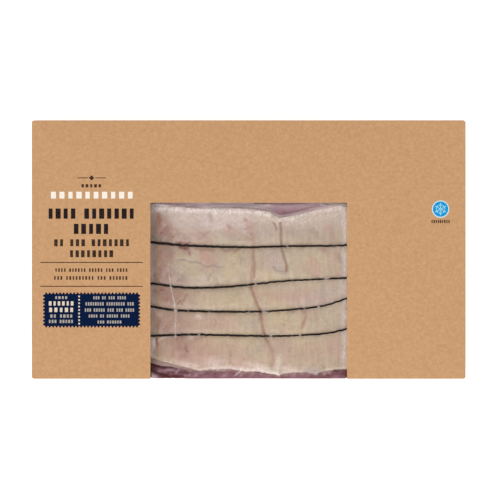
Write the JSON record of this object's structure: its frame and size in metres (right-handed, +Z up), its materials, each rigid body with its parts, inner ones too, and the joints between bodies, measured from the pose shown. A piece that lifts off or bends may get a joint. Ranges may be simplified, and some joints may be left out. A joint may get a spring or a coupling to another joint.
{
  "type": "raw beef sirloin joint in a windowed card carton",
  "caption": "Plain card carton, lying flat, with a cut-out window over its lid and front that shows a tied, vacuum-packed raw beef joint with its fat cap up.",
  "frame": {"origin": "middle of the carton's underside", "axes": "+X along the carton's long side, to the right as its lid is read; +Y towards its back wall, away from the window's open front; +Z up through the lid"},
  "size_m": [0.3, 0.1788, 0.076],
  "materials": {
    "card": "uncoated brown kraft board, matt",
    "lean": "raw beef, moist under tight film",
    "fat": "raw beef fat, moist under tight film",
    "string": "twisted dark butcher's string",
    "film": "clear vacuum-pack film"
  },
  "bodies": {
    "root": {"card_carton": "card", "lean_meat": "lean", "fat_cap": "fat", "string_1": "string", "string_2": "string", "string_3": "string", "string_4": "string", "bag_margin_left": "film", "bag_margin_right": "film"}
  },
  "joints": []
}
